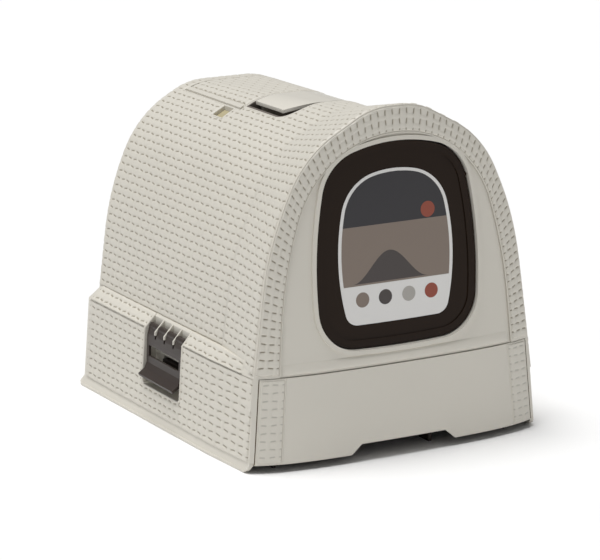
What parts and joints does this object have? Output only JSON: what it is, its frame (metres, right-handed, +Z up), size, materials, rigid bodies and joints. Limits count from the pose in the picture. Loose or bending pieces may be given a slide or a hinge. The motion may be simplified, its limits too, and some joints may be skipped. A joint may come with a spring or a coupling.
{
  "type": "cat litter box with hood",
  "caption": "Vaulted hooded cat litter box with basket-weave walls, smoked swing door, pull-out litter drawer, side clips, carry grip and a filter hatch.",
  "frame": {"origin": "centre of the footprint on the floor", "axes": "front with the door and drawer faces -Y, +X to the right seen from the front, +Z up"},
  "size_m": [0.4008, 0.449, 0.3933],
  "materials": {
    "cream": "satin moulded plastic",
    "brown": "satin moulded plastic",
    "smoke": "glossy smoked plastic",
    "label": "printed paper",
    "carbon": "matt fibre pad"
  },
  "bodies": {
    "hood": {"hood_shell": "cream", "base_pan": "brown", "handle_cup": "brown", "carry_grip": "cream", "filter_tray": "cream", "filter_pad": "carbon", "left_clip_rod": "brown", "right_clip_rod": "brown"},
    "drawer": {"litter_drawer": "cream"},
    "door": {"door_flap": "smoke", "door_label": "label"},
    "clip_left": {"left_clip": "brown"},
    "clip_right": {"right_clip": "brown"},
    "lid": {"filter_lid": "cream"}
  },
  "joints": [
    {"name": "door_swing", "type": "hinge", "parent": "hood", "child": "door", "pos_m": [0, -0.19804, 0.306], "axis": [1, 0, 0], "range_deg": [-60, 60]},
    {"name": "drawer_slide", "type": "slide", "parent": "hood", "child": "drawer", "axis": [0, -1, 0], "range_m": [0, 0.34]},
    {"name": "left_clip_turn", "type": "hinge", "parent": "hood", "child": "clip_left", "pos_m": [-0.178, 0.006, 0.108], "axis": [0, 1, 0], "range_deg": [0, 95]},
    {"name": "right_clip_turn", "type": "hinge", "parent": "hood", "child": "clip_right", "pos_m": [0.178, 0.006, 0.108], "axis": [0, -1, 0], "range_deg": [0, 95]},
    {"name": "filter_lid_lift", "type": "slide", "parent": "hood", "child": "lid", "axis": [0, 0, 1], "range_m": [0, 0.06]}
  ]
}
